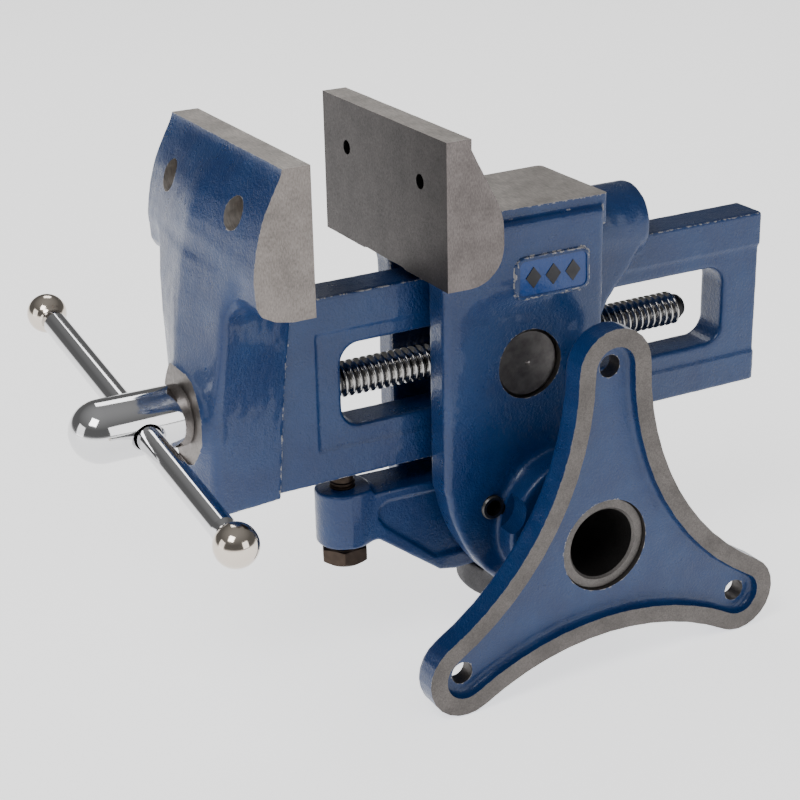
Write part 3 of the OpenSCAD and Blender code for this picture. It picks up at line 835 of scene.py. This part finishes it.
def make_moving_jaw():
    piece = casting("jaw_casting", moving_jaw_field, "moving_jaw", 1.0, ENAMEL, 0.045)
    # Iron copies here: painted shade on the face, painted light on the top and counterbores,
    # half-lit ends, spot face and bore
    combine(piece, block((MOVING_X, MOVING_X + 30), (-FAR, FAR), (JAW_BOTTOM - 0.6, FAR),
                         IRON_PAINTED_SHADE))
    combine(piece, block((-FAR, -50), (-FAR, FAR), (JAW_TOP, FAR), IRON_PAINTED_LIT))
    for side in (-1, 1):
        reach = sorted((side * JAW_HALF_W, side * FAR))
        combine(piece, block((-FAR, -50), reach, (-FAR, FAR), IRON_PAINTED_HALF_LIT))
        start = -FAR, side * HOLE_Y, HOLE_Z
        rest = MOVING_X - COUNTERBORE_REST
        combine(piece, rod(CLEAR_R, start, (-50, *start[1:]), IRON_PAINTED_LIT, 48))
        combine(piece, rod(COUNTERBORE_R, start, (rest, *start[1:]), IRON_PAINTED_LIT, 64))
    combine(piece, rod(SPOT_FACE_R, (-FAR, 0, 0), (HEAD_SEAT_X + SEAT_GAP, 0, 0), IRON_PAINTED_HALF_LIT))
    combine(piece, rod(SCREW_BORE_R, (-FAR, 0, 0), (-30, 0, 0), IRON_PAINTED_HALF_LIT, 64))
    finish(piece, "jaw", "jaw_enamel", "moving_jaw")


# ---- Lever ----------------------------------------------------------------

BOLT_X = -36.5
BOLT_BOSS_R = 11
LEVER_HALF_W = 10
LEVER_WEB_HALF_W = 8.6
# The lever's bores for its pin and bolt, and its hollow against the post
LEVER_BORE_R = 5.05
LEVER_HOLLOW_R = 19.5
LEVER = rounded_outline([(-44, -46), (-29, -44.2), (-27, -46), (22, -47), (28, -52),
                         (29.5, -80), (24, -87.3), (8, -87.8), (1, -86.3), (-26, -66),
                         (-44, -66)], 1.2)
PANEL = rounded_outline([(-22, -50.5), (30, -51.5), (30, -80), (-1, -80), (-23.5, -61),
                         (-26, -57), (-25.5, -52.5)], 2)


def lever_field(x, y, z):
    side = np.abs(y)
    arm = rounded_max(polygon(LEVER, x, z), side - LEVER_HALF_W, 1)
    arm = np.maximum(arm, BOLT_X - x)
    boss = rounded_max(circle(x, y, BOLT_X, 0, BOLT_BOSS_R), between(z, -66.9, -44.1), 1.2)
    panel = smooth_max(polygon(PANEL, x, z), LEVER_WEB_HALF_W - side, 1.5)
    return smooth_max(smooth_min(arm, boss, 2.5), -panel, 1.2)


def make_lever():
    piece = casting("lever", lever_field, "lock_lever", 0.7, ENAMEL, 0.04)
    # The hollow takes the half-lit copy of iron, with painted light
    for r, (x, z), material, segments in ((LEVER_HOLLOW_R, (POST_X, POST_Z), IRON_PAINTED_HALF_LIT, 96),
                                          (LEVER_BORE_R, PIVOT, PIN, 48)):
        combine(piece, rod(r, (x, -40, z), (x, 40, z), material, segments))
    # The bolt's bore in near-black steel: painted shade
    combine(piece, rod(LEVER_BORE_R, (BOLT_X, 0, -90), (BOLT_X, 0, -30), SHADE_STEEL, 48))
    finish(piece, "lever", "lever_enamel", "lock_lever")


# ---- Screw, handle and bolt ------------------------------------------------

SCREW_R = 6.95
PITCH = 3.0
THREAD_DEPTH = 1.7
HEAD_R = 11.65
SHANK_END = -40.0
CROSS_X = -117.6
HANDLE = Vector(joints["handle_slide"]["axis"])
BAR_R = 4.7
BALL_R = 7.8
# Centres of the balls along the bar, from the screw's axis
NEAR_BALL, FAR_BALL = -86.4, 96.8


def helix(name, start_x, end_x, root_r, crest_r, material, shade_material, segments=36):
    """A right-hand thread round the X axis, running out at both ends."""
    # One pitch of the profile: distance along the axis in pitches, and height share
    shape = [(0.0, 0.0), (0.12, 0.04), (0.30, 0.86), (0.40, 1.0), (0.56, 1.0), (0.66, 0.86),
             (0.84, 0.04), (0.93, 0.0)]
    turns = (end_x - start_x) / PITCH
    points, faces, roots = [], [], []
    columns = len(shape)
    steps = int(segments * turns)
    for i in range(steps + 1):
        a = 2 * math.pi * i / segments
        x = start_x + PITCH * i / segments
        fade = min(1, i / segments * 1.5, (steps - i) / segments * 1.5)
        for along, height in shape:
            r = root_r + (crest_r - root_r) * height * fade
            # Right-hand: it advances along +X as it turns from +Y towards +Z
            points.append((x + along * PITCH, r * math.cos(a), r * math.sin(a)))
    for i in range(steps):
        for j in range(columns - 1):
            low, high = i * columns + j, (i + 1) * columns + j
            faces.append((low, low + 1, high + 1, high))
            roots.append(j in (0, columns - 2))
        # Root between this turn and the next
        if i + segments <= steps - 1:
            low, high = i * columns + columns - 1, (i + 1) * columns + columns - 1
            next_low, next_high = (i + segments) * columns, (i + segments + 1) * columns
            faces.append((low, next_low, next_high, high))
            roots.append(True)
    piece = new_object(name, points, faces, material)
    piece.data.materials.append(shade_material)
    return piece, roots


def make_screw():
    tip_x = cad("lead_screw")[0].x
    end_x = cad("lead_screw")[1].x
    dome = [(HEAD_R * (1 - math.cos(math.radians(a))), HEAD_R * math.sin(math.radians(a)))
            for a in range(0, 90, 6)]
    head = dome + [(HEAD_R, HEAD_R), (HEAD_SEAT_X - tip_x - 1.6, HEAD_R),
                   (HEAD_SEAT_X - tip_x - 0.8, HEAD_R - 0.25),
                   (HEAD_SEAT_X - tip_x, HEAD_R - 0.9), (HEAD_SEAT_X - tip_x, 0)]
    piece = turned("screw_head", head, (tip_x, 0, 0), (1, 0, 0), CHROME)
    middle = Vector((CROSS_X, 0, 0))
    # The bar's hole in near-black steel: painted shade
    combine(piece, rod(BAR_R + 0.35, middle - HANDLE * 20, middle + HANDLE * 20, SHADE_STEEL, 64))
    for side in (-1, 1):
        sink = [(0, 0), (0, BAR_R + 0.3), (1.2, BAR_R + 0.6), (3.4, BAR_R + 3.2),
                (6, BAR_R + 7), (6, 0)]
        cone = turned("sink", sink, middle + HANDLE * side * (HEAD_R - 2.2),
                      HANDLE * side, CHROME, 64)
        combine(piece, cone)
    finish(piece, "screw", "screw_steel", "lead_screw", sharp=30)
    root_r = SCREW_R - THREAD_DEPTH
    start = HEAD_SEAT_X - 1
    length = end_x - start
    shank = SHANK_END - start
    # With a groove for the retaining pin
    stem = [(0, 0), (0, SCREW_R), (15.4, SCREW_R), (15.4, 5), (20.6, 5), (20.6, SCREW_R),
            (shank - 5, SCREW_R), (shank - 3, root_r), (length - 2, root_r),
            (length, root_r - 1.2), (length, 0)]
    # The stem in near-black steel: painted shade between the thread's turns
    stem = turned("screw_stem", stem, (start, 0, 0), (1, 0, 0), SHADE_STEEL, 64)
    finish(stem, "screw", "screw_steel", "lead_screw", sharp=30)
    thread, roots = helix("screw_thread", SHANK_END - 2, end_x - PITCH - 1, root_r - 0.1,
                          SCREW_R, THREAD, SHADE_STEEL)
    # Root faces take the near-black steel: painted shade in the grooves
    for face, is_root in zip(thread.data.polygons, roots):
        face.material_index = int(is_root)
    finish(thread, "screw", "screw_steel", "lead_screw", sharp=60)


def make_handle():
    centre = Vector((CROSS_X, 0, 0))
    low, high = NEAR_BALL + BALL_R - 1.2, FAR_BALL - BALL_R + 1.2
    tenon = [(0, 0), (0, 3.4), (2.2, 3.4), (3.0, BAR_R - 0.5), (3.5, BAR_R)]
    bar = tenon + [(high - low - reach, r) for reach, r in reversed(tenon)]
    piece = turned("bar", bar, centre + HANDLE * low, HANDLE, CHROME)
    finish(piece, "handle", "handle_chrome", "handle_bar", sharp=30)
    # From the outer pole of a ball to the collar that takes the bar
    ball = [(0, 0)]
    for a in range(8, 146, 6):
        ball.append((BALL_R * (1 - math.cos(math.radians(a))),
                     BALL_R * math.sin(math.radians(a))))
    ball += [(BALL_R * 2 - 1.0, BAR_R - 0.1), (BALL_R * 2 - 1.0, 0)]
    for name, node, at, way in (("near_ball", "near_handle_ball", NEAR_BALL, 1),
                                ("far_ball", "far_handle_ball", FAR_BALL, -1)):
        piece = turned(name, ball, centre + HANDLE * (at - way * BALL_R), HANDLE * way, BALL)
        finish(piece, "handle", "ball_steel", node, sharp=40)


def make_bolt():
    """Hex bolt with a chamfered head and a washer face."""
    low, high = cad("adjuster_bolt")
    length = high.z - low.z
    head_h, across_flats, thread_r, root_r, pitch = 7.2, 17.0, 4.95, 4.2, 1.5
    corner_r = across_flats / 2 / math.cos(math.pi / 6)
    head = [(0, 0), (0, 7.6), (0.5, 8.2), (1.5, corner_r + 0.1), (head_h - 0.9, corner_r + 0.1),
            (head_h - 0.3, 8.2), (head_h, 8.0), (head_h, 0)]
    head = turned("bolt_head", head, (BOLT_X, 0, low.z), (0, 0, 1), BOLT)
    hexagon = rod(corner_r, (BOLT_X, 0, low.z - 1), (BOLT_X, 0, low.z + head_h + 1), BOLT, 6)
    turn = Matrix.Translation(ORIGIN + Vector((BOLT_X, 0, 0)) * MM)
    turn = turn @ Matrix.Rotation(math.radians(6), 4, "Z") @ turn.inverted()
    hexagon.data.transform(turn)
    combine(head, hexagon, "INTERSECT")
    finish(head, "adjuster", "bolt_steel", "adjuster_bolt", sharp=20)
    body = [(0, 0), (0, 4.9)]
    z = head_h + 20.0
    while z < length - 3:
        body += [(z, root_r), (z + 0.35, thread_r), (z + 0.6, thread_r), (z + 0.95, root_r)]
        z += pitch
    body += [(length - 1, root_r), (length, 3.6), (length, 0)]
    stem = turned("bolt_shank", body, (BOLT_X, 0, low.z), (0, 0, 1), BOLT, 40)
    finish(stem, "adjuster", "bolt_steel", "adjuster_bolt", sharp=50)


make_base()
make_tube()
make_body()
make_nut()
make_pivot_pin()
make_moving_jaw()
make_lever()
make_screw()
make_handle()
make_bolt()
retaining_pin = frame["nodes"]["retaining_pin"]
retaining_pin.data.materials.clear()
retaining_pin.data.materials.append(PIN)

# ---- Stage ----------------------------------------------------------------
# Lengths from here on are in metres, in the frame's own axes.

LIGHT_TARGET = Vector((0, 0.05, 0.05))


def make_floor():
    """A pale floor under the lowest point."""
    low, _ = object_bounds()
    mesh = bpy.data.meshes.new("floor")
    size, z = 6.0, low.z - 0.0005
    mesh.from_pydata([(-size, -size, z), (size, -size, z), (size, size, z), (-size, size, z)],
                     [], [(0, 1, 2, 3)])
    floor = bpy.data.objects.new("floor", mesh)
    bpy.context.scene.collection.objects.link(floor)
    look = Look("floor_paper", (0.9, 0.9, 0.9), 0.8, specular=0.1)
    look.set("Emission Color", (1, 1, 1, 1))
    look.set("Emission Strength", 1.35)
    mesh.materials.append(look.material)


def make_light(name, place, size, power):
    data = bpy.data.lights.new(name, "AREA")
    data.size = size
    data.energy = power
    lamp = bpy.data.objects.new(name, data)
    lamp.location = place
    aim = LIGHT_TARGET - Vector(place)
    lamp.rotation_euler = aim.to_track_quat("-Z", "Y").to_euler()
    bpy.context.scene.collection.objects.link(lamp)


def make_world():
    """A studio that is dim overhead and brighter towards its walls."""
    world = bpy.data.worlds.new("studio")
    bpy.context.scene.world = world
    world.use_nodes = True
    tree = world.node_tree
    place = tree.nodes.new("ShaderNodeTexCoord")
    parts = tree.nodes.new("ShaderNodeSeparateXYZ")
    ramp = tree.nodes.new("ShaderNodeValToRGB")
    stops = ((0.0, 0.45), (0.03, 0.4), (0.08, 0.14), (0.45, 0.14), (1.0, 0.36))
    elements = ramp.color_ramp.elements
    while len(elements) < len(stops):
        elements.new(0.5)
    for element, (position, level) in zip(elements, stops):
        element.position = position
        element.color = (level, level, level, 1)
    tree.links.new(place.outputs["Generated"], parts.inputs["Vector"])
    tree.links.new(parts.outputs["Z"], ramp.inputs["Fac"])
    background = tree.nodes["Background"]
    tree.links.new(ramp.outputs["Color"], background.inputs["Color"])
    background.inputs["Strength"].default_value = 1.0


def make_camera():
    data = bpy.data.cameras.new("camera")
    data.sensor_width = 36
    data.lens = 82.95
    camera = bpy.data.objects.new("camera", data)
    camera.location = (-0.3702, -0.5247, 0.3258)
    turn = [math.radians(a) for a in (67.566, 1.159, -28.693)]
    camera.rotation_euler = Euler(turn, "XYZ")
    bpy.context.scene.collection.objects.link(camera)
    bpy.context.scene.camera = camera


make_floor()
make_light("key", (-0.9, -0.5, 1.3), 0.7, 11)
make_light("side", (0.5, -1.3, 0.5), 0.8, 5)
make_light("left", (-1.4, 0.2, 0.35), 0.7, 3)
make_light("back", (0.3, 1.1, 1.2), 0.6, 4)
make_world()
make_camera()
